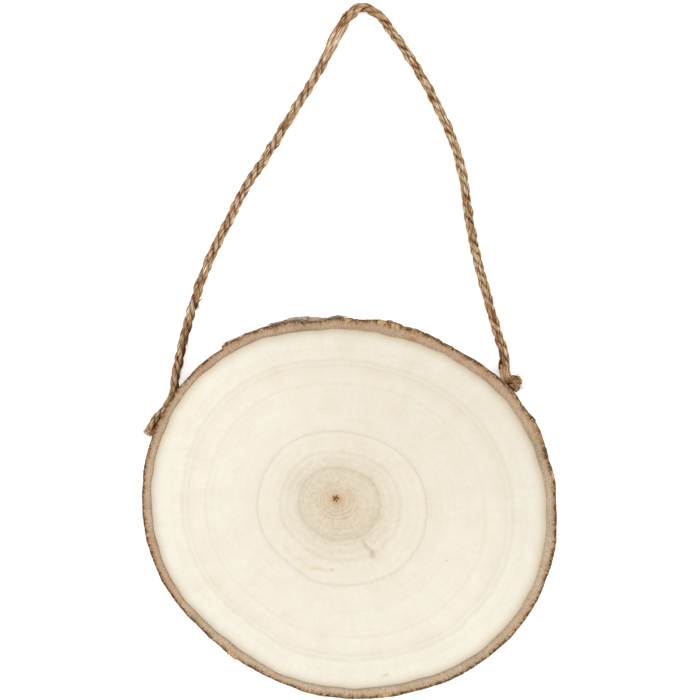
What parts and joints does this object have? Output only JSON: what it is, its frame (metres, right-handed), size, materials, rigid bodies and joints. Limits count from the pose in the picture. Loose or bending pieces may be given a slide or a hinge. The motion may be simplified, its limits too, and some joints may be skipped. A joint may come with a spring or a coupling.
{
  "type": "wood slice with hanging cord",
  "caption": "Thin round slice of a tree branch with its bark on and a sanded face, and a twisted jute cord loop stapled to its bark for hanging.",
  "frame": {"origin": "middle of the slice's flat back face, which the slice lies on", "axes": "+Z out of the sanded front face; +X along the slice's longest width; +Y towards the cord loop"},
  "size_m": [0.2022, 0.3397, 0.012],
  "materials": {
    "wood": "sanded pale sapwood, uncoated",
    "bark": "rough dry bark with thin flakes and a little yellow lichen",
    "jute": "three-strand twisted natural jute, hairy",
    "staple_steel": "dull galvanised wire"
  },
  "bodies": {
    "root": {"wood_slice": "wood", "jute_cord": "jute", "staple_left": "staple_steel", "staple_right": "staple_steel"}
  },
  "joints": []
}
